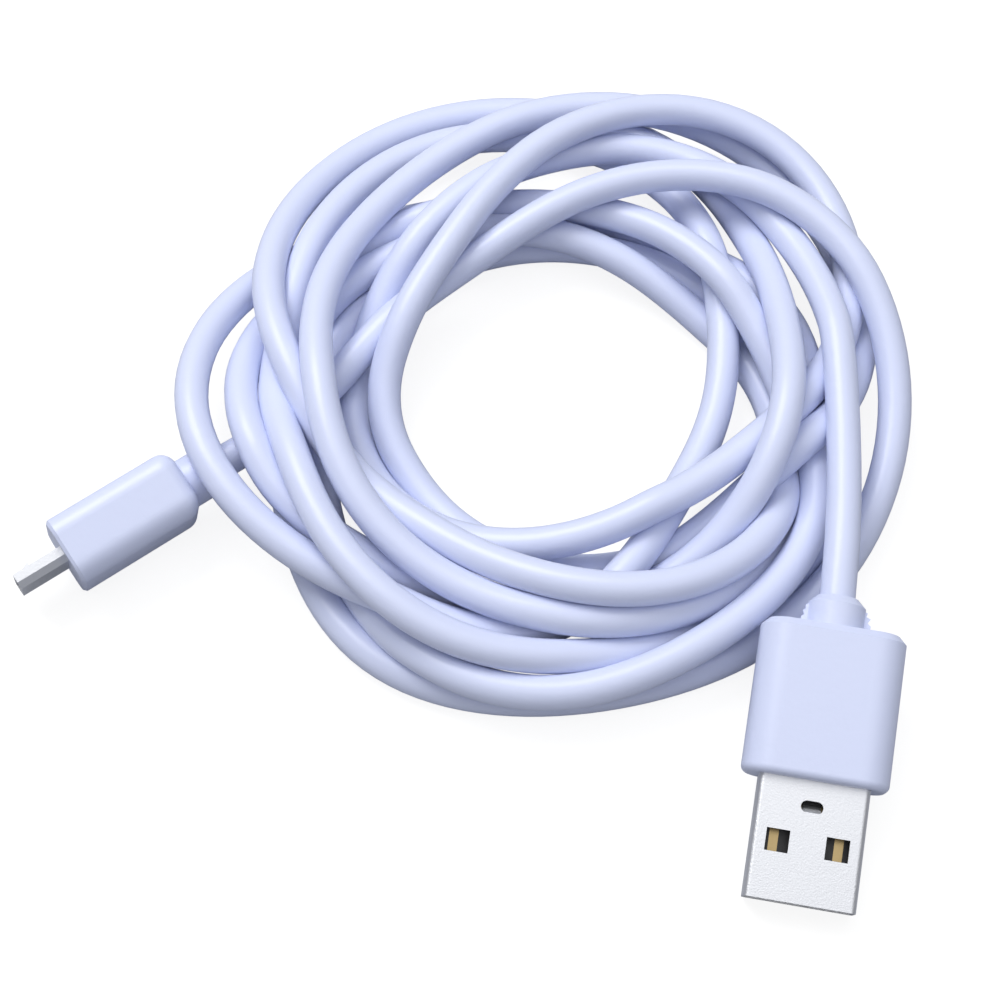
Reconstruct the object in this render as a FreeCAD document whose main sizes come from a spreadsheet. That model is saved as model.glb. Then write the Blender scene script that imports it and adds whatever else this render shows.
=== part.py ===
"""A white USB-A to micro-USB cable, loosely coiled and lying on a table.  Millimetres, +Z up.

Each plug is drawn in its own frame: the origin is where the cable enters the moulding, +Y points at the
plug's tip and +Z out of its top face.  The plug is then turned and set down beside the coil.
"""
import FreeCAD, Part
import math
import os

import Sketcher
from FreeCAD import Placement, Rotation, Vector

SIZES = (
    ("cable_d", 4.0, "cable jacket, outside diameter"),
    ("wire_d", 0.55, "insulated wire, outside diameter"),
    ("core_offset", 0.75, "wire's offset from the cable's axis, each way"),
    ("collar_d", 6.4, "collar behind the USB-A moulding, diameter"),
    ("collar_len", 3.5, "collar, length"),
    ("collar_round", 0.9, "collar, rounding of its rear rim"),
    ("mould_w", 16.0, "USB-A moulding, width"),
    ("mould_t", 8.0, "USB-A moulding, thickness"),
    ("mould_len", 17.0, "USB-A moulding, length"),
    ("mould_side", 3.3, "USB-A moulding, rounding of its long sides"),
    ("mould_edge", 0.8, "USB-A moulding, rounding of its ends"),
    ("lead_run", 4.5, "cable's straight run behind each moulding"),
    ("jacket_depth", 7.0, "depth of the cable's jacket inside each moulding"),
    ("shell_w", 12.0, "USB-A shell, width"),
    ("shell_t", 4.5, "USB-A shell, height"),
    ("shell_wall", 0.3, "USB-A shell, sheet thickness"),
    ("shell_corner", 0.6, "USB-A shell, outside fold radius"),
    ("shell_reach", 13.0, "USB-A shell, length outside the moulding"),
    ("shell_seat", 6.0, "USB-A shell, length inside the moulding"),
    ("window_w", 2.5, "shell window, width"),
    ("window_len", 2.4, "shell window, length"),
    ("window_pitch", 6.4, "shell windows, centre to centre"),
    ("window_setback", 5.0, "shell window, front edge to the tip"),
    ("lance_w", 2.4, "oval lance opening, width"),
    ("lance_len", 1.3, "oval lance opening, length"),
    ("lance_setback", 10.2, "oval lance opening, centre to the tip"),
    ("tongue_t", 1.9, "USB-A insulator, thickness of its tongue"),
    ("tongue_setback", 0.6, "USB-A insulator, front end to the tip"),
    ("block_len", 4.5, "USB-A insulator, length of its rear block inside the shell"),
    ("block_tail", 1.0, "USB-A insulator, length behind the shell"),
    ("contact_w", 1.0, "USB-A contact, width"),
    ("contact_t", 0.25, "USB-A contact, thickness"),
    ("contact_tail", 1.5, "USB-A contact, solder tail behind the insulator"),
    ("power_pitch", 7.0, "USB-A power contacts, centre to centre"),
    ("data_pitch", 2.0, "USB-A data contacts, centre to centre"),
    ("power_setback", 1.6, "USB-A power contacts, front end to the tip"),
    ("data_setback", 2.6, "USB-A data contacts, front end to the tip"),
    ("neck_d", 6.0, "neck behind the micro-USB moulding, diameter"),
    ("neck_len", 3.0, "neck, length"),
    ("neck_round", 0.9, "neck, rounding of its rear rim"),
    ("micro_mould_w", 11.0, "micro-USB moulding, width"),
    ("micro_mould_t", 8.4, "micro-USB moulding, thickness"),
    ("micro_mould_len", 16.0, "micro-USB moulding, length"),
    ("micro_mould_side", 2.4, "micro-USB moulding, rounding of its long sides"),
    ("micro_rear_round", 1.9, "micro-USB moulding, rounding of its rear end"),
    ("micro_front_edge", 0.35, "micro-USB moulding, rounding of its front end"),
    ("micro_shell_w", 6.85, "micro-USB shell, width"),
    ("micro_shell_t", 1.8, "micro-USB shell, height"),
    ("micro_shell_wall", 0.25, "micro-USB shell, sheet thickness"),
    ("micro_shell_slant", 0.75, "micro-USB shell, slanted lower corners"),
    ("micro_shell_reach", 6.0, "micro-USB shell, length outside the moulding"),
    ("micro_shell_seat", 5.0, "micro-USB shell, length inside the moulding"),
    ("micro_tongue_w", 4.0, "micro-USB insulator, width of its tongue"),
    ("micro_tongue_t", 0.6, "micro-USB insulator, thickness of its tongue"),
    ("micro_tongue_setback", 0.5, "micro-USB insulator, front end to the tip"),
    ("micro_block_len", 2.5, "micro-USB insulator, length of its rear block inside the shell"),
    ("micro_block_tail", 1.0, "micro-USB insulator, length behind the shell"),
    ("pin_w", 0.35, "micro-USB contact, width"),
    ("pin_t", 0.15, "micro-USB contact, thickness"),
    ("pin_pitch", 0.65, "micro-USB contacts, centre to centre"),
    ("pin_setback", 1.0, "micro-USB contacts, front end to the tip"),
    ("pin_tail", 1.8, "micro-USB contact, solder tail behind the insulator"),
    ("latch_w", 0.6, "latch spring, width"),
    ("latch_leaf_t", 0.2, "latch spring, thickness of its leaf"),
    ("latch_pitch", 5.1, "latch springs, centre to centre"),
    ("latch_headroom", 0.15, "latch spring, gap to the shell above it"),
    ("latch_root", 1.2, "latch spring, length held in the insulator"),
    ("latch_hook", 0.5, "latch hook, height above the shell"),
    ("latch_hook_len", 0.9, "latch hook, length"),
    ("latch_hook_setback", 1.2, "latch hook, front end to the tip"),
    ("latch_slot_gap", 0.1, "latch slot, gap round the hook"),
    ("coil_x", 9.53, "coil's centre from the origin, along X"),
    ("coil_y", 10.51, "coil's centre from the origin, along Y"),
    ("usb_a_exit_x", 32.5, "USB-A moulding's rear end from the coil's centre, along X"),
    ("usb_a_exit_y", -29.5, "USB-A moulding's rear end, along Y"),
    ("usb_a_exit_z", 10.4, "USB-A moulding's rear end, above the floor"),
    ("usb_a_lead_x", 34.8, "where the USB-A lead meets the coil, from its centre, along X"),
    ("usb_a_lead_y", -9.0, "where the USB-A lead meets the coil, along Y"),
    ("usb_a_lead_z", 10.4, "where the USB-A lead meets the coil, above the floor"),
    ("micro_exit_x", -39.7, "micro-USB moulding's rear end from the coil's centre, along X"),
    ("micro_exit_y", -11.2, "micro-USB moulding's rear end, along Y"),
    ("micro_exit_z", 6.1, "micro-USB moulding's rear end, above the floor"),
    ("micro_usb_lead_x", -29.0, "where the micro-USB lead meets the coil, from its centre, along X"),
    ("micro_usb_lead_y", -3.2, "where the micro-USB lead meets the coil, along Y"),
    ("micro_usb_lead_z", 5.1, "where the micro-USB lead meets the coil, above the floor"),
    ("coil_outer", 42.0, "coil, outside radius"),
    ("coil_inner", 20.5, "coil, inside radius"),
    ("coil_height", 13.0, "coil, height"),
    ("coil_gap", 0.4, "coil, gap to the mouldings that lie on it"),
)

USB_A_YAW = 170.0
USB_A_PITCH = -14.0
MICRO_YAW = 126.2
MICRO_ROLL = 70.0

# The share of the shorter run beside a bend that its arc may take up.
ARC_SHARE = 0.45

USB_A_WIRES = (("red", -1, 1, "-power_pitch / 2"), ("white", -1, -1, "-data_pitch / 2"),
               ("green", 1, -1, "data_pitch / 2"), ("black", 1, 1, "power_pitch / 2"))
USB_A_CONTACTS = (("power", "-power_pitch / 2", "power_setback"),
                  ("data_minus", "-data_pitch / 2", "data_setback"),
                  ("data_plus", "data_pitch / 2", "data_setback"),
                  ("ground", "power_pitch / 2", "power_setback"))
MICRO_CONTACTS = (("power", -2), ("data_minus", -1), ("data_plus", 0), ("sense", 1), ("ground", 2))
MICRO_WIRES = (("red", -1, 1, -2), ("white", -1, -1, -1), ("green", 1, -1, 0), ("black", 1, 1, 2))

doc = FreeCAD.newDocument("coiled_cable")
sheet = doc.addObject("Spreadsheet::Sheet", "Sizes")
for row, (alias, value, meaning) in enumerate(SIZES, start=1):
    sheet.set(f"A{row}", meaning)
    sheet.set(f"B{row}", str(value))
    sheet.setAlias(f"B{row}", alias)
doc.recompute()
ALIASES = sorted((alias for alias, _, _ in SIZES), key=len, reverse=True)
nodes = []


def bound(text):
    """An expression over the sheet's cells, from one written with bare size names."""
    words = text.replace("(", " ( ").replace(")", " ) ").replace("-", " - ").split()
    return " ".join(f"Sizes.{word}" if word in ALIASES else word for word in words)


def value_of(text):
    """The number that a size expression stands for."""
    return float(sheet.evalExpression(bound(text)))


def bind(item, prop, text):
    item.setExpression(prop, bound(text))


def node(item, label, place):
    """Name a finished piece, set it down with its plug and keep it for export."""
    item.Label = label
    item.Placement = place
    nodes.append(item)
    return item


def draw_outline(sketch, corners):
    """Close an outline of straight lines, each corner tied to the sheet."""
    points = [Vector(value_of(x), value_of(z), 0) for x, z in corners]
    count = len(points)
    for index in range(count):
        sketch.addGeometry(Part.LineSegment(points[index], points[(index + 1) % count]), False)
    for index in range(count):
        sketch.addConstraint(Sketcher.Constraint("Coincident", index, 2, (index + 1) % count, 1))
    for index, (x, z) in enumerate(corners):
        corner = points[index]
        for kind, text, place, axis in (("DistanceX", x, corner.x, -2), ("DistanceY", z, corner.y, -1)):
            if abs(place) < 1e-9:
                sketch.addConstraint(Sketcher.Constraint("PointOnObject", index, 1, axis))
                continue
            ends = (-1, 1, index, 1) if place > 0 else (index, 1, -1, 1)
            number = sketch.addConstraint(Sketcher.Constraint(kind, *ends, abs(place)))
            bind(sketch, f"Constraints[{number}]", text if place > 0 else f"0 - ( {text} )")


def section_sketch(body, name, corners, y_start):
    """A closed outline across the plug, each corner tied to the sheet, at y_start along the plug."""
    plane = next(item for item in body.Origin.OriginFeatures if item.Role == "XZ_Plane")
    sketch = body.newObject("Sketcher::SketchObject", name)
    sketch.AttachmentSupport = [(plane, "")]
    sketch.MapMode = "FlatFace"
    bind(sketch, "AttachmentOffset.Base.z", f"0 - ( {y_start} )")
    draw_outline(sketch, corners)
    return sketch


def section_pad(body, name, corners, y_start, length):
    sketch = section_sketch(body, name + "_outline", corners, y_start)
    pad = body.newObject("PartDesign::Pad", name)
    pad.Profile = sketch
    pad.Reversed = True
    bind(pad, "Length", length)
    doc.recompute()
    return pad


def section_pocket(body, name, corners, y_start, length):
    sketch = section_sketch(body, name + "_outline", corners, y_start)
    pocket = body.newObject("PartDesign::Pocket", name)
    pocket.Profile = sketch
    bind(pocket, "Length", length)
    pocket.Reversed = False
    doc.recompute()
    return pocket


def oblong(width, height, base="0"):
    """Corners of a rectangle centred on X, standing on the level base."""
    top = f"{base} + {height}"
    left = f"0 - {width} / 2"
    right = f"{width} / 2"
    return ((left, base), (right, base), (right, top), (left, top))


def centred(width, height):
    return oblong(width, height, f"0 - {height} / 2")


def box(name, width, length, height, x_mid, y_start, z_start):
    item = doc.addObject("Part::Box", name)
    bind(item, "Length", width)
    bind(item, "Width", length)
    bind(item, "Height", height)
    bind(item, "Placement.Base.x", f"( {x_mid} ) - ( {width} ) / 2")
    bind(item, "Placement.Base.y", y_start)
    bind(item, "Placement.Base.z", z_start)
    return item


def round_bar(name, diameter, y_start, length):
    """A cylinder along the plug's axis."""
    item = doc.addObject("Part::Cylinder", name)
    bind(item, "Radius", f"{diameter} / 2")
    bind(item, "Height", length)
    item.Placement = Placement(Vector(), Rotation(Vector(1, 0, 0), -90))
    bind(item, "Placement.Base.y", y_start)
    return item


def joined(kind, name, base, tools):
    item = doc.addObject(kind, name)
    if kind == "Part::Cut":
        item.Base = base
        item.Tool = tools
    else:
        item.Shapes = [base] + tools
    return item


def fused(name, items):
    return joined("Part::MultiFuse", name, items[0], items[1:])


def eased(body, name, kind, size, wanted):
    """Round or bevel the edges of the body's tip that the test picks."""
    base = body.Tip
    names = [f"Edge{number}" for number, edge in enumerate(base.Shape.Edges, start=1) if wanted(edge)]
    item = body.newObject(f"PartDesign::{kind}", name)
    item.Base = (base, names)
    bind(item, "Radius" if kind == "Fillet" else "Size", size)
    doc.recompute()
    return item


def runs_along(edge):
    """True for a straight edge along the plug's axis."""
    return edge.Curve.TypeId == "Part::GeomLine" and abs(edge.tangentAt(edge.FirstParameter).y) > 0.99


def lies_at(level):
    """A test for edges that lie wholly in the plane across the plug at that level."""
    def test(edge):
        return edge.BoundBox.YLength < 1e-6 and abs(edge.BoundBox.YMin - level) < 1e-6
    return test


def moulding(name, section, length, side, front, rear, neck):
    """A plug's soft moulding: a rounded block with a round neck behind it where the cable comes in."""
    neck_d, neck_len, neck_rim = neck
    rear_size = rear[1]
    body = doc.addObject("PartDesign::Body", name + "_form")
    section_pad(body, name + "_block", centred(*section), neck_len, length)
    eased(body, name + "_sides", "Fillet", side, runs_along)
    eased(body, name + "_front", *front, lies_at(value_of(f"{neck_len} + {length}")))
    eased(body, name + "_rear", *rear, lies_at(value_of(neck_len)))
    stub = round_bar(name + "_neck", neck_d, "0", f"{neck_len} + {rear_size}")
    rim = doc.addObject("Part::Chamfer", name + "_neck_rim")
    rim.Base = stub
    doc.recompute()
    back = next(n for n, edge in enumerate(stub.Shape.Edges, start=1) if edge.BoundBox.YMax < 1e-6)
    bevel = value_of(neck_rim)
    rim.Edges = [(back, bevel, bevel)]
    return fused(name + "_solid", [body, rim])


def sheet_tube(name, corners, inner, y_start, length, fold):
    """A folded sheet-metal sleeve: an outline padded along the plug, with its inside pocketed out."""
    body = doc.addObject("PartDesign::Body", name)
    section_pad(body, name + "_sleeve", corners, y_start, length)
    if fold:
        eased(body, name + "_folds", "Fillet", fold, runs_along)
    section_pocket(body, name + "_bore", inner, y_start, length)
    return body


def wire(name, side_x, side_z, x_end, z_end, y_start, y_end):
    """One insulated wire, fanned out from the cable's end to the tail of its contact."""
    rings = []
    for stage, (x, z, y) in enumerate(((f"{side_x} * core_offset", f"{side_z} * core_offset", y_start),
                                       (x_end, z_end, y_end))):
        ring = doc.addObject("Part::Circle", f"{name}_ring_{stage}")
        bind(ring, "Radius", "wire_d / 2")
        ring.Placement = Placement(Vector(), Rotation(Vector(1, 0, 0), -90))
        bind(ring, "Placement.Base.x", x)
        bind(ring, "Placement.Base.y", y)
        bind(ring, "Placement.Base.z", z)
        rings.append(ring)
    loft = doc.addObject("Part::Loft", name)
    loft.Sections = rings
    loft.Solid = True
    loft.Ruled = True
    return loft


def usb_a_plug(place):
    """The flat USB-A plug: shell, insulator, contacts and wires in a soft moulding."""
    tip = "( collar_len + mould_len + shell_reach )"
    rear = "( collar_len + mould_len - shell_seat )"
    block_rear = f"( {rear} - block_tail )"
    tail_rear = f"( {block_rear} - contact_tail )"
    floor = "( shell_wall - shell_t / 2 )"
    tongue_top = f"( {floor} + tongue_t )"
    inside_w = "( shell_w - 2 * shell_wall )"
    inside_t = "( shell_t - 2 * shell_wall )"

    shell = sheet_tube("usb_a_sleeve", centred("shell_w", "shell_t"), centred(inside_w, inside_t), rear,
                       "shell_reach + shell_seat", "shell_corner")
    windows = []
    window_rear = f"{tip} - window_setback - window_len"
    for side, sign in (("left", "0 -"), ("right", "")):
        windows.append(box(f"usb_a_window_{side}", "window_w", "window_len", "2 * shell_t",
                           f"{sign} window_pitch / 2", window_rear, "0 - shell_t"))
    lance = doc.addObject("Part::Cylinder", "usb_a_lance_round")
    bind(lance, "Radius", "lance_len / 2")
    bind(lance, "Height", "shell_t")
    bind(lance, "Placement.Base.x", "0 - ( lance_w - lance_len ) / 2")
    bind(lance, "Placement.Base.y", f"{tip} - lance_setback")
    lance_far = doc.addObject("Part::Cylinder", "usb_a_lance_round_far")
    bind(lance_far, "Radius", "lance_len / 2")
    bind(lance_far, "Height", "shell_t")
    bind(lance_far, "Placement.Base.x", "( lance_w - lance_len ) / 2")
    bind(lance_far, "Placement.Base.y", f"{tip} - lance_setback")
    lance_mid = box("usb_a_lance_middle", "lance_w - lance_len", "lance_len", "shell_t", "0",
                    f"{tip} - lance_setback - lance_len / 2", "0")
    openings = fused("usb_a_shell_openings", windows + [lance, lance_far, lance_mid])
    node(joined("Part::Cut", "usb_a_shell", shell, openings), "usb_a_shell", place)

    tongue_len = f"{tip} - tongue_setback - {block_rear}"
    tongue = box("usb_a_tongue", inside_w, tongue_len, "tongue_t", "0", block_rear, floor)
    block = box("usb_a_block", inside_w, "block_len + block_tail", inside_t, "0", block_rear, floor)
    contacts = []
    for name, x_mid, setback in USB_A_CONTACTS:
        contact_len = f"{tip} - {setback} - {tail_rear}"
        contacts.append(box(f"usb_a_contact_{name}_form", "contact_w", contact_len, "contact_t",
                            x_mid, tail_rear, f"{tongue_top} - contact_t"))
    grooves = fused("usb_a_contact_grooves", contacts)
    carrier = fused("usb_a_carrier", [tongue, block])
    node(joined("Part::Cut", "usb_a_insulator", carrier, grooves), "usb_a_insulator", place)

    wires = []
    for colour, side_x, side_z, x_end in USB_A_WIRES:
        wires.append(wire(f"usb_a_wire_{colour}_form", side_x, side_z, x_end,
                          f"{tongue_top} - contact_t / 2", "jacket_depth", tail_rear))
    jacket = round_bar("usb_a_jacket_bore", "cable_d", "0", "jacket_depth")
    seat = box("usb_a_shell_room", "shell_w", "shell_seat", "shell_t", "0", rear, "0 - shell_t / 2")
    tail_room = box("usb_a_block_room", inside_w, "block_tail", inside_t, "0", block_rear, floor)
    solid = moulding("usb_a", ("mould_w", "mould_t"), "mould_len", "mould_side", ("Fillet", "mould_edge"),
                     ("Chamfer", "mould_edge"), ("collar_d", "collar_len", "collar_round"))
    room = fused("usb_a_moulding_room", [jacket, seat, tail_room] + contacts + wires)
    node(joined("Part::Cut", "usb_a_overmould", solid, room), "usb_a_overmould", place)
    return contacts, wires


def micro_usb_plug(place):
    """The micro USB plug: shell with two latch springs, insulator, contacts and wires in a moulding."""
    front = "( neck_len + micro_mould_len )"
    tip = f"( {front} + micro_shell_reach )"
    rear = f"( {front} - micro_shell_seat )"
    block_rear = f"( {rear} - micro_block_tail )"
    block_front = f"( {rear} + micro_block_len )"
    tail_rear = f"( {block_rear} - pin_tail )"
    floor = "( micro_shell_wall - micro_shell_t / 2 )"
    tongue_top = f"( {floor} + micro_tongue_t )"
    inside_t = "( micro_shell_t - 2 * micro_shell_wall )"
    leaf_top = "( micro_shell_t / 2 - micro_shell_wall - latch_headroom )"
    leaf_base = f"( {leaf_top} - latch_leaf_t )"
    hook_rear = f"( {tip} - latch_hook_setback - latch_hook_len )"

    def sleeve(inset):
        """The shell's section, square above and slanted at its lower corners, drawn in by inset."""
        half, low = f"( micro_shell_w / 2 - {inset} )", f"( 0 - micro_shell_t / 2 + {inset} )"
        high, slant = f"( micro_shell_t / 2 - {inset} )", f"( micro_shell_slant - {inset} / 2 )"
        return ((f"0 - {half} + {slant}", low), (f"{half} - {slant}", low),
                (half, f"{low} + {slant}"), (half, high),
                (f"0 - {half}", high), (f"0 - {half}", f"{low} + {slant}"))

    length = "micro_shell_reach + micro_shell_seat"
    shell = sheet_tube("micro_usb_sleeve", sleeve("0"), sleeve("micro_shell_wall"), rear, length, None)
    slots = []
    slot_w = "latch_w + 2 * latch_slot_gap"
    slot_len = "latch_hook_len + 2 * latch_slot_gap"
    for side, sign in (("left", "0 -"), ("right", "")):
        slots.append(box(f"micro_usb_slot_{side}", slot_w, slot_len, "micro_shell_t",
                         f"{sign} latch_pitch / 2", f"{hook_rear} - latch_slot_gap", leaf_top))
    slotted = joined("Part::Cut", "micro_usb_shell", shell, fused("micro_usb_slots", slots))
    node(slotted, "micro_usb_shell", place)

    latches = []
    for side, sign in (("left", "0 -"), ("right", "")):
        x_mid = f"{sign} latch_pitch / 2"
        leaf_len = f"{tip} - latch_hook_setback - {block_front} + latch_root"
        leaf = box(f"micro_usb_leaf_{side}", "latch_w", leaf_len, "latch_leaf_t", x_mid,
                   f"{block_front} - latch_root", leaf_base)
        hook = doc.addObject("Part::Wedge", f"micro_usb_hook_{side}")
        bind(hook, "Xmax", "latch_w")
        bind(hook, "Ymax", "latch_hook_len")
        bind(hook, "Zmax", f"micro_shell_t / 2 + latch_hook - {leaf_top}")
        hook.X2min = 0
        bind(hook, "X2max", "latch_w")
        hook.Z2min = 0
        bind(hook, "Z2max", f"( micro_shell_t / 2 + latch_hook - {leaf_top} ) / 2")
        bind(hook, "Placement.Base.x", f"{x_mid} - latch_w / 2")
        bind(hook, "Placement.Base.y", hook_rear)
        bind(hook, "Placement.Base.z", leaf_top)
        latches.append(fused(f"micro_usb_latch_{side}_form", [leaf, hook]))

    block_w = "( micro_shell_w - 2 * micro_shell_wall - 2 * micro_shell_slant )"
    block = box("micro_usb_block", block_w, "micro_block_len + micro_block_tail", inside_t, "0",
                block_rear, floor)
    shoulder = box("micro_usb_shoulder", "micro_shell_w - 2 * micro_shell_wall", "micro_block_len",
                   f"{inside_t} - micro_shell_slant", "0", rear, f"{floor} + micro_shell_slant")
    tongue_len = f"{tip} - micro_tongue_setback - {block_rear}"
    tongue = box("micro_usb_tongue", "micro_tongue_w", tongue_len, "micro_tongue_t", "0", block_rear, floor)
    pins = []
    for name, step in MICRO_CONTACTS:
        pins.append(box(f"micro_usb_contact_{name}_form", "pin_w", f"{tip} - pin_setback - {tail_rear}",
                        "pin_t", f"{step} * pin_pitch", tail_rear, f"{tongue_top} - pin_t"))
    grooves = fused("micro_usb_grooves", pins + latches)
    carrier = fused("micro_usb_carrier", [block, shoulder, tongue])
    node(joined("Part::Cut", "micro_usb_insulator", carrier, grooves), "micro_usb_insulator", place)

    wires = []
    for colour, side_x, side_z, step in MICRO_WIRES:
        wires.append(wire(f"micro_usb_wire_{colour}_form", side_x, side_z, f"{step} * pin_pitch",
                          f"{tongue_top} - pin_t / 2", "jacket_depth", tail_rear))
    jacket = round_bar("micro_usb_jacket_bore", "cable_d", "0", "jacket_depth")
    seat_body = doc.addObject("PartDesign::Body", "micro_usb_shell_room")
    section_pad(seat_body, "micro_usb_shell_room_block", sleeve("0"), rear, "micro_shell_seat")
    tail_room = box("micro_usb_block_room", block_w, "micro_block_tail", inside_t, "0", block_rear, floor)
    solid = moulding("micro_usb", ("micro_mould_w", "micro_mould_t"), "micro_mould_len", "micro_mould_side",
                     ("Chamfer", "micro_front_edge"), ("Fillet", "micro_rear_round"),
                     ("neck_d", "neck_len", "neck_round"))
    room = fused("micro_usb_moulding_room", [jacket, seat_body, tail_room] + pins + wires)
    node(joined("Part::Cut", "micro_usb_overmould", solid, room), "micro_usb_overmould", place)
    return latches, pins, wires


def plug_room(name, width, thick, length, neck_len, place):
    """The space that a plug's moulding and its neck need where they lie against the coil."""
    item = box(name, f"{width} + 2 * coil_gap", f"{neck_len} + {length} + coil_gap",
               f"{thick} + 2 * coil_gap", "0", "0 - coil_gap", f"0 - {thick} / 2 - coil_gap")
    room = doc.addObject("Part::Compound", name + "_set_down")
    room.Links = [item]
    room.Placement = place
    return room


def coil():
    """The loose coil's outer form: a turned ring with a rounded top, set back where the plugs lie on it."""
    body = doc.addObject("PartDesign::Body", "coil_ring")
    plane = next(item for item in body.Origin.OriginFeatures if item.Role == "XZ_Plane")
    sketch = body.newObject("Sketcher::SketchObject", "coil_section")
    sketch.AttachmentSupport = [(plane, "")]
    sketch.MapMode = "FlatFace"
    draw_outline(sketch, (("coil_inner + cable_d / 2", "0"), ("coil_outer - cable_d / 2", "0"),
                          ("coil_outer", "cable_d"),
                          ("coil_outer - cable_d", "coil_height - cable_d / 2"),
                          ("coil_outer - 2 * cable_d", "coil_height"),
                          ("coil_inner + 2 * cable_d", "coil_height"),
                          ("coil_inner + cable_d", "coil_height - cable_d / 2"), ("coil_inner", "cable_d")))
    turn = body.newObject("PartDesign::Revolution", "coil_turn")
    turn.Profile = sketch
    turn.ReferenceAxis = (sketch, ["V_Axis"])
    turn.Angle = 360
    doc.recompute()
    bind(body, "Placement.Base.x", "coil_x")
    bind(body, "Placement.Base.y", "coil_y")
    rooms = [plug_room("usb_a_room", "mould_w", "mould_t", "mould_len", "collar_len", usb_a_place),
             plug_room("micro_usb_room", "micro_mould_w", "micro_mould_t", "micro_mould_len", "neck_len",
                       micro_place)]
    return joined("Part::Cut", "cable_coil", body, fused("coil_rooms", rooms))


centre = Vector(value_of("coil_x"), value_of("coil_y"), 0)


def place_of(name):
    """A named point of the sheet, which is measured from the coil's centre on the floor."""
    return centre + Vector(*(value_of(f"{name}_{axis}") for axis in "xyz"))


usb_a_turn = Rotation(Vector(0, 0, 1), USB_A_YAW) * Rotation(Vector(1, 0, 0), USB_A_PITCH)
micro_turn = Rotation(Vector(0, 0, 1), MICRO_YAW) * Rotation(Vector(0, 1, 0), MICRO_ROLL)
usb_a_place = Placement(place_of("usb_a_exit"), usb_a_turn)
micro_place = Placement(place_of("micro_exit"), micro_turn)

usb_a_pieces = usb_a_plug(usb_a_place)
micro_pieces = micro_usb_plug(micro_place)
doc.recompute()


def set_down(item, label, place):
    """A piece that another one is moulded round, set down with its plug as a node of its own."""
    copy = doc.addObject("Part::Compound", label + "_piece")
    copy.Links = [item]
    return node(copy, label, place)


def bent_path(points):
    """Straight runs through the points, each corner turned by the largest arc that its two runs allow."""
    edges = []
    start = points[0]
    radii = []
    for before, corner, after in zip(points, points[1:], points[2:]):
        back = (before - corner).normalize()
        on = (after - corner).normalize()
        half_turn = (math.pi - back.getAngle(on)) / 2
        trim = ARC_SHARE * min(before.distanceToPoint(corner), after.distanceToPoint(corner))
        radius = trim / math.tan(half_turn)
        inward = (back + on).normalize()
        middle = corner + inward * (radius / math.cos(half_turn) - radius)
        enter = corner + back * trim
        leave = corner + on * trim
        edges += [Part.LineSegment(start, enter).toShape(), Part.Arc(enter, middle, leave).toShape()]
        radii.append(round(radius, 1))
        start = leave
    edges.append(Part.LineSegment(start, points[-1]).toShape())
    return Part.Wire(edges), radii


def cable_lead(label, place, ring):
    """The jacket from inside its moulding to where it meets the coil."""
    ends = [place.multVec(Vector(0, y, 0)) for y in (value_of("jacket_depth"), -value_of("lead_run"))]
    points = ends + [place_of(label)]
    path, radii = bent_path(points)
    section = Part.Wire(Part.makeCircle(value_of("cable_d") / 2, points[0], points[1] - points[0]))
    bar = doc.addObject("Part::Feature", label + "_bar")
    bar.Shape = path.makePipeShell([section], True, True)
    print(f"{label}: {path.Length:.1f} mm long, bend radii {radii} mm, volume {bar.Shape.Volume:.1f} mm3, "
          f"section times length {math.pi * value_of('cable_d') ** 2 / 4 * path.Length:.1f} mm3")
    return node(joined("Part::Cut", label, bar, ring), label, Placement())


contacts, usb_a_wires = usb_a_pieces
latches, pins, micro_wires = micro_pieces
for item in contacts + usb_a_wires:
    set_down(item, item.Name.removesuffix("_form"), usb_a_place)
for item in latches + pins + micro_wires:
    set_down(item, item.Name.removesuffix("_form"), micro_place)
ring = node(coil(), "cable_coil", Placement())
cable_lead("usb_a_lead", usb_a_place, ring)
cable_lead("micro_usb_lead", micro_place, ring)
doc.recompute()

for item in doc.Objects:
    if "Invalid" in item.State or "Error" in item.State:
        raise RuntimeError(f"{item.Name} failed: {item.State}")
for item in nodes:
    if item.Shape.isNull() or not item.Shape.isValid() or len(item.Shape.Solids) != 1:
        raise RuntimeError(f"{item.Label} is not one sound solid")
os.makedirs("parts", exist_ok=True)
for item in nodes:
    item.Shape.exportStep(f"parts/{item.Label}.step")
    print(f"{item.Label}: {item.Shape.Volume:.2f} mm3")
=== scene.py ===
# %% [markdown]
# # A coiled micro USB cable
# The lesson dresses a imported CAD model: the plugs keep their CAD solids and get materials, and the plain ring
# that stands for the coil is replaced by the cable itself, wound turn by turn.

# %%
import math

import bpy
import numpy as np
from mathutils import Euler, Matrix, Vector


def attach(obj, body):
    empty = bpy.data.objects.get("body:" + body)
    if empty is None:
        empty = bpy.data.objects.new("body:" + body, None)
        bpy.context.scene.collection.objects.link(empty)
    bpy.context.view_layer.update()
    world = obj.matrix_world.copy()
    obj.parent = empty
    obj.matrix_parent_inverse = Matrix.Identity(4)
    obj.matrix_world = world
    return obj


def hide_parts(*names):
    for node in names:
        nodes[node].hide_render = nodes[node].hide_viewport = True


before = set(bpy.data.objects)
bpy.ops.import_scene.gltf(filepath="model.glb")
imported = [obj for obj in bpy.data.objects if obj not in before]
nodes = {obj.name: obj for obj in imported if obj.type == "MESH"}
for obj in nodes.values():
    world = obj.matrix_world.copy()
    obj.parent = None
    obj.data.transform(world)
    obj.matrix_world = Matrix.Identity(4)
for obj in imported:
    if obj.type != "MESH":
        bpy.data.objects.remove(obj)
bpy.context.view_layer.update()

# Places and sizes are in millimetres, measured from the coil's centre on the floor.
MM = 0.001
COIL_CENTRE = (9.53, 10.51)
CABLE_D = 4.0
USB_A_EXIT = (32.5, -29.5, 10.4)

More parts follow.
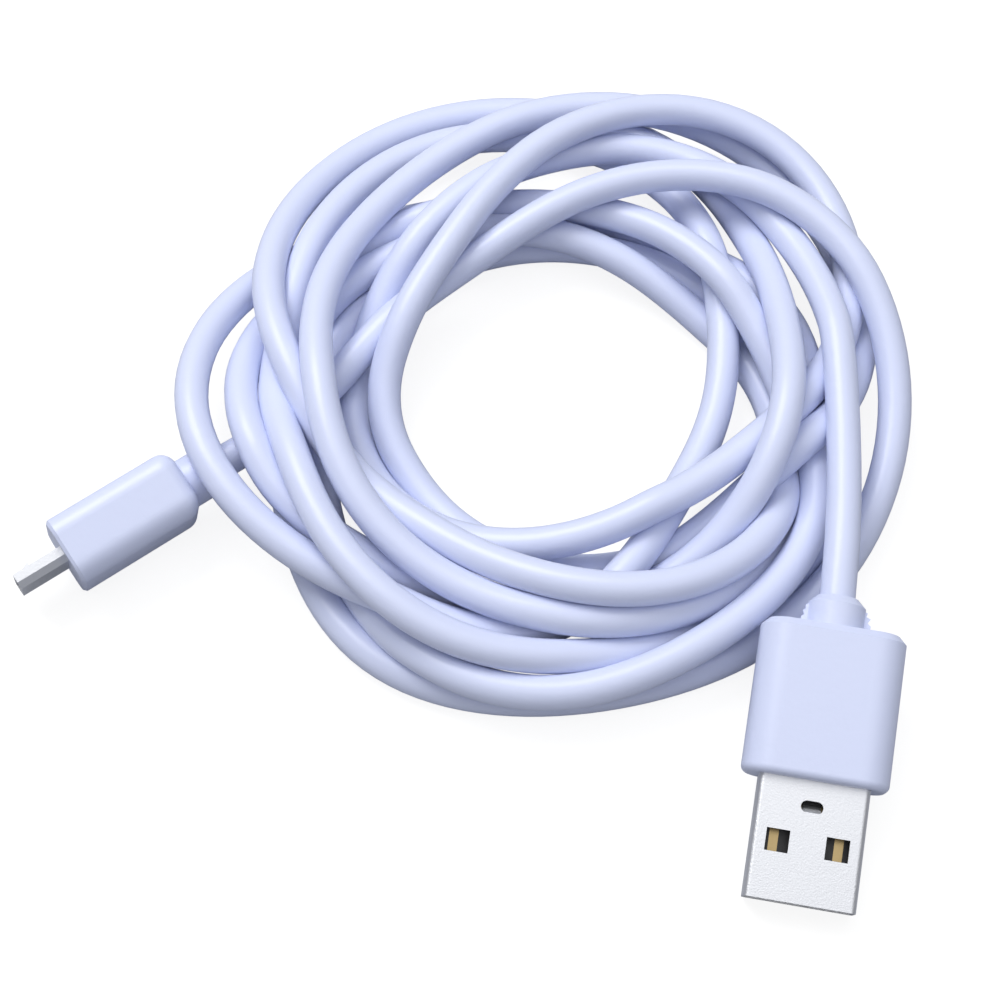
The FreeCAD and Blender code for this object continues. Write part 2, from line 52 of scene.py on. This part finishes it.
# %% [markdown]
# ## Camera
# The photograph looks down at sixty degrees. The aim is the coil's centre on the floor, and the lens shift puts it
# a little right of and above the picture's middle.

# %%
CAMERA_DISTANCE = 0.240
CAMERA_ELEVATION = math.radians(60)
LENS_MM = 70.2
SENSOR_MM = 36.0
LENS_SHIFT = (-0.045, -0.085)
CLIP_START = 0.01

scene = bpy.context.scene
camera_data = bpy.data.cameras.new("camera")
camera_data.lens = LENS_MM
camera_data.sensor_width = SENSOR_MM
camera_data.shift_x, camera_data.shift_y = LENS_SHIFT
camera_data.clip_start = CLIP_START
camera = bpy.data.objects.new("camera", camera_data)
scene.collection.objects.link(camera)
camera.location = (
    COIL_CENTRE[0] * MM,
    COIL_CENTRE[1] * MM - CAMERA_DISTANCE * math.cos(CAMERA_ELEVATION),
    CAMERA_DISTANCE * math.sin(CAMERA_ELEVATION),
)
camera.rotation_euler = (math.pi / 2 - CAMERA_ELEVATION, 0, 0)
scene.camera = camera

# %% [markdown]
# ## The cable's route
# Each turn is a row of stations: the hour on a clock face laid on the coil, the radius there in millimetres, and the
# layer it lies in. The strands were followed in the photograph, starting at the micro USB plug. Their places
# were turned into hours and radii with this camera, rounded, and then adjusted against the render.

# %%
TURNS = (
    (
        (9.8, 22, 1.3), (10.6, 19.5, 1.8), (11.7, 20.5, 2.7), (0.6, 28.5, 3), (1.3, 35.5, 3), (1.8, 40, 3),
        (2.4, 41.5, 2.5), (3, 42, 1.5), (3.7, 41.5, 0.7),
    ),
    (
        (4.3, 40, 0), (4.8, 38.5, 0), (5.4, 37, 0), (6, 37, 0), (6.7, 38, 0), (7.3, 35.5, 0),
        (8.4, 30, 0), (9.1, 30, 0), (10.7, 28, 0.5), (11.6, 25, 1), (0.5, 22.5, 1), (1.1, 22.5, 0.7),
        (1.9, 24, 0), (2.4, 26, 0), (3.1, 31, 0.5),
    ),
    (
        (3.8, 34, 1.5), (4.5, 34, 2), (5, 33, 2.5), (5.5, 31, 2.5), (6, 28, 2.5), (7.1, 23.5, 2),
        (7.6, 24.5, 2), (8.5, 29, 2), (9.4, 33.5, 2.5), (10, 39.5, 1.8), (10.6, 44, 1), (11.3, 47, 1),
        (11.9, 46, 1), (0.6, 44, 1), (1.2, 38.5, 2), (1.7, 33, 2.5), (2.5, 28.5, 3), (3.3, 28.5, 2.8),
        (3.9, 29, 2.2),
    ),
    (
        (4.6, 28, 1), (5.4, 26.5, 1), (6.2, 26.5, 1), (7.1, 28.5, 1), (7.9, 32.5, 1.2), (8.6, 36.5, 2.5),
        (9.1, 37.5, 1.7), (9.7, 36.5, 0.5), (10.8, 31.5, 0.5), (12, 27, 1), (1, 26.5, 1.3), (1.9, 26, 1.3),
        (3, 30, 1),
    ),
    (
        (3.6, 35.5, 1), (4.5, 36.5, 1.5), (5.2, 37, 2), (5.8, 38, 1), (6.3, 39.5, 1), (6.9, 37.5, 1),
        (7.4, 34, 1), (8.4, 29.5, 0), (9.1, 28, 0), (9.7, 28, 0), (10.8, 25, 0), (0.2, 24, 0),
        (1.5, 26.5, 0), (2.9, 31, 0),
    ),
    (
        (3.6, 35, 0), (4.3, 36, 0), (5.2, 35, 1), (6, 37, 2), (6.5, 36.5, 2), (7.3, 34, 2.4),
        (8.2, 31, 2.8), (8.7, 30.5, 2.4), (9.5, 32, 1.5), (10.1, 35.5, 1), (10.6, 38, 1), (11.1, 42.5, 1),
        (11.8, 41.5, 1), (0.6, 38, 1), (1.1, 33.5, 1), (2, 24.5, 1), (2.6, 22, 1), (3.6, 20, 1),
    ),
    (
        (4.3, 20, 1), (4.9, 22.5, 1), (5.6, 29.5, 1), (6.1, 33, 1), (7.4, 34.5, 1), (7.9, 38, 1.3),
        (8.3, 42, 2.7), (8.8, 42.5, 2.7), (9.2, 42, 2), (9.7, 40, 1), (10.6, 32, 0), (0.1, 28, 0),
        (1.6, 28.5, 0.6), (2.8, 32, 0.5),
    ),
    (
        (4.1, 34.5, 1), (4.8, 36, 1), (5.6, 32.5, 1), (6.2, 29.5, 1), (7, 28, 1.5), (7.8, 27.5, 2.5),
        (8.6, 26.5, 3), (9.6, 28.5, 3), (10.5, 32, 2), (11.2, 35, 2), (0.1, 43.5, 2), (0.5, 46, 2),
        (1.1, 46, 2), (1.6, 45, 1.5), (2.2, 42, 1), (2.8, 39, 1),
    ),
    (
        (3.2, 35, 1.5), (3.6, 30.5, 1.5), (4, 27.5, 1.2), (4.5, 25.5, 1), (5, 25, 1), (5.5, 24.5, 1),
        (6.1, 21.5, 0.5), (7.7, 20, 0.5), (8.9, 20.5, 1), (9.6, 20, 1.5), (10.5, 19.5, 2.5), (11.4, 24, 3),
        (0.1, 34.5, 3), (0.7, 44, 3), (1.2, 48.5, 3), (1.8, 45.5, 2), (2.6, 39.5, 2),
    ),
    (
        (3.1, 35, 2), (3.6, 28, 2), (3.9, 25.5, 1.7), (4.4, 23, 1.5), (5.5, 21, 1.5), (6.8, 21.5, 1),
        (8, 22, 0.2), (9.2, 24.5, 0), (10, 25, 0.2), (10.8, 26, 1), (11.6, 30, 1.8), (0.4, 36.5, 2),
        (1.1, 39, 2), (1.7, 36, 2), (2.4, 35, 3), (2.9, 35, 2.9),
    ),
)
LAYER_RISE = 3.4
HOURS_ROUND = 12
STEPS_PER_HOUR = 4
EASING_ROUNDS = 8

# The free stretches, with the same points as the CAD leads: from inside each moulding to the coil.
USB_A_LEAD = ((31.3, -36.2, 8.7), (33.3, -25.2, 11.5), (34.8, -9.0, 10.4))
MICRO_LEAD = ((-45.4, -15.3, 6.1), (-36.1, -8.5, 6.1), (-29.0, -3.2, 5.1))


def unwound(turns):
    """The stations of all turns in one row, their hours counted on past twelve."""
    row = []
    for station in (s for turn in turns for s in turn):
        hour = station[0]
        while row and hour < row[-1][0]:
            hour += HOURS_ROUND
        row.append((hour, *station[1:]))
    return np.array(row)


def blended(row, hour):
    """Radius and layer at an hour between stations, by a cubic with slopes from the stations each side."""
    i = min(max(int(np.searchsorted(row[:, 0], hour)) - 1, 0), len(row) - 2)
    before, after = max(i - 1, 0), min(i + 2, len(row) - 1)
    span = row[i + 1, 0] - row[i, 0]
    t = (hour - row[i, 0]) / span
    start = (row[i + 1, 1:] - row[before, 1:]) / (row[i + 1, 0] - row[before, 0]) * span
    end = (row[after, 1:] - row[i, 1:]) / (row[after, 0] - row[i, 0]) * span
    a, b = row[i, 1:], row[i + 1, 1:]
    return (
        (2 * t**3 - 3 * t**2 + 1) * a
        + (t**3 - 2 * t**2 + t) * start
        + (3 * t**2 - 2 * t**3) * b
        + (t**3 - t**2) * end
    )


def wound(turns):
    """The coil's points as they are first laid, a few to the hour."""
    row = unwound(turns)
    hours = np.arange(row[0, 0], row[-1, 0], 1 / STEPS_PER_HOUR)
    shape = np.array([blended(row, hour) for hour in hours])
    for _ in range(EASING_ROUNDS):
        shape[1:-1] = (shape[:-2] + 2 * shape[1:-1] + shape[2:]) / 4
    angle = hours * math.pi / 6
    radius, layer = shape.T
    height = CABLE_D / 2 + LAYER_RISE * layer
    return np.stack((radius * np.sin(angle), radius * np.cos(angle), height), axis=1)


# %% [markdown]
# ## Letting the turns settle
# The turns are laid at their layers' heights and then let down. Each point sinks, is pushed off the floor and off any
# other turn closer than the cable's thickness, and is drawn back in plan to where it was laid. The rounds grow gentler
# towards the end, and the leads' own points stay where they are.

# %%
SETTLE_ROUNDS = 320
SINK = 0.06  # mm that a point sinks in the first round
HOLD = 0.10  # share of the way back to where it was laid
EVEN_OUT = 0.34  # share of a point's shift that is evened out with its neighbours'
PUSH = 1.5  # how hard an overlap is pushed apart
PUSH_PARTS = np.array((0.5, 0.5, 1.0))  # a push counts half sideways and whole upwards
LEAST_GAP = 0.1  # mm, keeps a push finite where two middle lines meet
NEAR_STEPS = 5  # points this near along the cable don't push each other
LEAD_POINTS = 3
PROP_FREE_ENDS = 9  # points at each end, the leads' among them, that the props don't push

# What the turns also rest on or pass under: the straight runs between the leads' points, each with how far off it a
# turn's middle line stays. The first run of each lead lies in its plug's neck, which is thicker than the cable.
MICRO_NECK_CLEARANCE = 5.2
USB_A_NECK_CLEARANCE = 5.4
PROPS = (
    (MICRO_LEAD[0], MICRO_LEAD[1], MICRO_NECK_CLEARANCE),
    (MICRO_LEAD[1], MICRO_LEAD[2], CABLE_D),
    (USB_A_LEAD[0], USB_A_LEAD[1], USB_A_NECK_CLEARANCE),
    (USB_A_LEAD[1], USB_A_LEAD[2], CABLE_D),
)


def off_run(points, start, end):
    """The way to each point from the nearest place on a straight run."""
    start, along = np.array(start), np.subtract(end, start)
    share = np.clip((points - start) @ along / (along @ along), 0, 1)
    return points - start - share[:, None] * along


def off_each_other(points):
    """The way to each point from the nearest place on every run between two points."""
    run = np.diff(points, axis=0)
    apart = points[:, None, :] - points[None, :-1, :]
    share = np.clip((apart * run).sum(axis=2) / (run * run).sum(axis=1), 0, 1)
    return apart - share[..., None] * run


def settled(laid):
    """The laid points after they have come to rest on the floor and on each other."""
    points = laid.copy()
    index = np.arange(len(points))
    others = np.abs(index[:, None] - index[None, :-1] - 0.5) > NEAR_STEPS + 0.5
    for ease in np.linspace(1, 0, SETTLE_ROUNDS):
        points[:, 2] -= SINK * ease
        points[:, :2] += HOLD * ease * (laid[:, :2] - points[:, :2])
        shift = points - laid
        shift[1:-1] += EVEN_OUT * ((shift[:-2] + shift[2:]) / 2 - shift[1:-1])
        points = laid + shift
        apart = off_each_other(points)
        distance = np.linalg.norm(apart, axis=2)
        close = others & (distance < CABLE_D)
        overlap = (CABLE_D - distance) / 2 / np.maximum(distance, LEAST_GAP)
        push = np.where(close, overlap, 0)[..., None] * apart
        crowd = np.maximum(close.sum(axis=1), 1)[:, None]
        points = points + PUSH * PUSH_PARTS * push.sum(axis=1) / np.sqrt(crowd)
        for start, end, clearance in PROPS:
            off = off_run(points, start, end)
            reach = np.linalg.norm(off, axis=1)
            lift = np.maximum(clearance - reach, 0) / np.maximum(reach, LEAST_GAP) / 2
            lift[:PROP_FREE_ENDS] = 0
            lift[-PROP_FREE_ENDS:] = 0
            points = points + lift[:, None] * off
        points[:, 2] = np.maximum(points[:, 2], CABLE_D / 2)
        points[:LEAD_POINTS] = laid[:LEAD_POINTS]
        points[-LEAD_POINTS:] = laid[-LEAD_POINTS:]
    return points


laid_route = np.concatenate((MICRO_LEAD, wound(TURNS), USB_A_LEAD[::-1]))
route = [tuple(point) for point in settled(laid_route)]
route.reverse()

# %% [markdown]
# ## The cable
# It is one spline from the USB-A plug to the micro USB plug. The bevel's depth is one metre and each point's radius is
# the cable's, which gives the cable's thickness and keeps the curve's bounds true.

# %%
RUN_STEPS = 3
ROUNDNESS = 6


def in_row(point):
    """A point measured from the coil's centre in millimetres, in the row's frame in metres."""
    return ((point[0] + COIL_CENTRE[0]) * MM, (point[1] + COIL_CENTRE[1]) * MM, point[2] * MM)


bpy.ops.object.select_all(action="DESELECT")
bpy.ops.curve.primitive_nurbs_path_add(location=(0, 0, 0))
cable = bpy.context.object
cable.name = "cable"
cable.data.splines.clear()
spline = cable.data.splines.new("NURBS")
spline.points.add(len(route) - 1)
for place, point in zip(spline.points, route):
    place.co = (*in_row(point), 1.0)
    place.radius = CABLE_D / 2 * MM
spline.order_u = 3
spline.use_endpoint_u = True
cable.data.dimensions = "3D"
cable.data.resolution_u = RUN_STEPS
cable.data.bevel_depth = 1.0
cable.data.bevel_resolution = ROUNDNESS
cable.data.use_fill_caps = True
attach(cable, "root")
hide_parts("cable_coil", "usb_a_lead", "micro_usb_lead")

# %% [markdown]
# ## Materials
# Each is a Principled shader with constants, and the white PVC and the steel have a fine grain.

# %%


def principled(name, colour, roughness, metallic=0.0):
    """A new material with its Principled shader's own sockets set to constants."""
    material = bpy.data.materials.new(name)
    material.use_nodes = True
    shader = material.node_tree.nodes["Principled BSDF"]
    shader.inputs["Base Color"].default_value = (*colour, 1)
    shader.inputs["Roughness"].default_value = roughness
    shader.inputs["Metallic"].default_value = metallic
    return material


def grain(material, scale, depth):
    """Fine surface grain: noise on object coordinates that drives a small bump."""
    tree = material.node_tree
    where = tree.nodes.new("ShaderNodeTexCoord")
    noise = tree.nodes.new("ShaderNodeTexNoise")
    noise.inputs["Scale"].default_value = scale
    bump = tree.nodes.new("ShaderNodeBump")
    bump.inputs["Strength"].default_value = 1.0
    bump.inputs["Distance"].default_value = depth
    tree.links.new(where.outputs["Object"], noise.inputs["Vector"])
    tree.links.new(noise.outputs["Fac"], bump.inputs["Height"])
    tree.links.new(bump.outputs["Normal"], tree.nodes["Principled BSDF"].inputs["Normal"])


pvc = principled("white_pvc", colour=(0.66, 0.71, 0.92), roughness=0.34)
grain(pvc, scale=900, depth=0.00003)
steel = principled("plated_steel", colour=(0.70, 0.71, 0.74), roughness=0.42, metallic=1.0)
grain(steel, scale=5000, depth=0.000026)
black = principled("black_plastic", colour=(0.02, 0.02, 0.022), roughness=0.42)
# The gold is darker than bare gold plate: painted shade for the contacts sitting down in the shell's windows.
gold = principled("gold_plate", colour=(0.40, 0.30, 0.15), roughness=0.28, metallic=1.0)
WIRE_COLOURS = {
    "red": (0.55, 0.02, 0.02),
    "white": (0.8, 0.8, 0.78),
    "green": (0.03, 0.3, 0.08),
    "black": (0.02, 0.02, 0.02),
}
wires = {name: principled(f"wire_{name}", shade, roughness=0.4) for name, shade in WIRE_COLOURS.items()}


def finish_of(name):
    """The material of a CAD node, by what its name says it is."""
    if "_wire_" in name:
        return wires[name.rsplit("_", 1)[1]]
    if "_contact_" in name:
        return gold
    if "_insulator" in name:
        return black
    if "_shell" in name or "_latch_" in name:
        return steel
    return pvc


for name, node in nodes.items():
    node.data.materials.clear()
    node.data.materials.append(finish_of(name))
cable.data.materials.append(pvc)

# %% [markdown]
# ## Small things on the USB-A plug
# The shell's oval window shows a sprung tab bent down inside it, and the moulding has a little ragged flash beside
# the collar, left where the two halves of the mould met.

# %%
USB_A_PITCH = math.radians(-14)
USB_A_YAW = math.radians(170)
USB_A_TURN = Euler((USB_A_PITCH, 0, USB_A_YAW)).to_matrix()


def on_usb_a(point):
    """A point of the USB-A plug, in millimetres across, along and above its axis, in the row's frame."""
    return in_row(Vector(USB_A_EXIT) + USB_A_TURN @ Vector(point))


def sheet_piece(name, corners, faces, thickness, material):
    """A thin sheet on the USB-A plug, given by its corners and faces."""
    bpy.ops.object.select_all(action="DESELECT")
    bpy.ops.mesh.primitive_plane_add(location=(0, 0, 0))
    piece = bpy.context.object
    piece.name = name
    piece.data.clear_geometry()
    piece.data.from_pydata([on_usb_a(corner) for corner in corners], [], faces)
    piece.data.materials.append(material)
    skin = piece.modifiers.new("thickness", "SOLIDIFY")
    skin.thickness = thickness * MM
    skin.offset = 0
    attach(piece, "root")


# The tab's profile is along and above the plug's axis. Each flash outline is across and along it.
TAB_PROFILE = ((24.3, 1.84), (23.9, 1.78), (23.5, 1.5), (23.0, 1.05), (22.6, 0.8))
TAB_HALF = 1.0
TAB_THICKNESS = 0.2
tab_corners = [(side * TAB_HALF, along, level) for along, level in TAB_PROFILE for side in (-1, 1)]
tab_faces = [(2 * i, 2 * i + 1, 2 * i + 3, 2 * i + 2) for i in range(len(TAB_PROFILE) - 1)]
sheet_piece("usb_a_sprung_tab", tab_corners, tab_faces, TAB_THICKNESS, steel)

FLASH_LEVEL = 0.6
FLASH_THICKNESS = 0.25
FLASH_OUTLINES = {
    "usb_a_flash_left": (
        (2.9, 3.7), (3.9, 3.7), (3.8, 2.7), (3.5, 2.5), (3.7, 2.0), (3.4, 1.8), (3.5, 1.4), (2.9, 1.0),
    ),
    "usb_a_flash_right": (
        (-2.9, 3.7), (-2.9, 1.1), (-3.4, 1.3), (-3.3, 1.7), (-3.8, 1.9), (-3.5, 2.4), (-3.9, 2.7), (-3.8, 3.7),
    ),
}
for name, outline in FLASH_OUTLINES.items():
    flash_corners = [(across, along, FLASH_LEVEL) for across, along in outline]
    flash_face = tuple(range(len(outline)))
    sheet_piece(name, flash_corners, [flash_face], FLASH_THICKNESS, pvc)

# %% [markdown]
# ## Floor and light
# The camera sees a white floor with faint shadows, as in the photograph. Everything else sees a plain grey one, so
# that the floor doesn't light the cable from below.

# %%
FLOOR_SIZE = 4
FLOOR_GREY = (0.42, 0.43, 0.46, 1)
FLOOR_GLOW = 0.86
FLOOR_SHADE = (0.24, 0.24, 0.24, 1)
SKY_TINT = (0.93, 0.95, 1.0, 1)
SKY_STRENGTH = 0.34

bpy.ops.object.select_all(action="DESELECT")
bpy.ops.mesh.primitive_plane_add(size=FLOOR_SIZE, location=(0, 0, 0))
floor = bpy.context.object
floor.name = "floor"
floor_paint = bpy.data.materials.new("floor_white")
floor_paint.use_nodes = True
tree = floor_paint.node_tree
tree.nodes.clear()
matt = tree.nodes.new("ShaderNodeBsdfDiffuse")
matt.inputs["Color"].default_value = FLOOR_GREY
white = tree.nodes.new("ShaderNodeEmission")
white.inputs["Strength"].default_value = FLOOR_GLOW
pale = tree.nodes.new("ShaderNodeBsdfDiffuse")
pale.inputs["Color"].default_value = FLOOR_SHADE
glow = tree.nodes.new("ShaderNodeAddShader")
seen = tree.nodes.new("ShaderNodeLightPath")
mix = tree.nodes.new("ShaderNodeMixShader")
out = tree.nodes.new("ShaderNodeOutputMaterial")
tree.links.new(seen.outputs["Is Camera Ray"], mix.inputs["Fac"])
tree.links.new(matt.outputs["BSDF"], mix.inputs[1])
tree.links.new(white.outputs["Emission"], glow.inputs[0])
tree.links.new(pale.outputs["BSDF"], glow.inputs[1])
tree.links.new(glow.outputs["Shader"], mix.inputs[2])
tree.links.new(mix.outputs["Shader"], out.inputs["Surface"])
floor.data.materials.append(floor_paint)

world = bpy.data.worlds.new("studio")
scene.world = world
world.use_nodes = True
sky = world.node_tree.nodes["Background"]
sky.inputs["Color"].default_value = SKY_TINT
sky.inputs["Strength"].default_value = SKY_STRENGTH


def soft_light(name, place, size, power):
    """A square area light that faces the row's origin."""
    data = bpy.data.lights.new(name, "AREA")
    data.size = size
    data.energy = power
    light = bpy.data.objects.new(name, data)
    scene.collection.objects.link(light)
    light.location = place
    light.rotation_euler = Vector(place).to_track_quat("Z", "Y").to_euler()


soft_light("key", place=(-0.25, 0.30, 0.60), size=0.40, power=2.9)
soft_light("overhead", place=(0.03, 0.02, 0.70), size=0.90, power=2.6)

# %% [markdown]
# ## Render settings

# %%
SAMPLES = 96
PICTURE_SIDE = 1000

scene.render.engine = "CYCLES"
scene.cycles.samples = SAMPLES
scene.cycles.use_denoising = True
scene.render.resolution_x = PICTURE_SIDE
scene.render.resolution_y = PICTURE_SIDE
scene.view_settings.view_transform = "Standard"
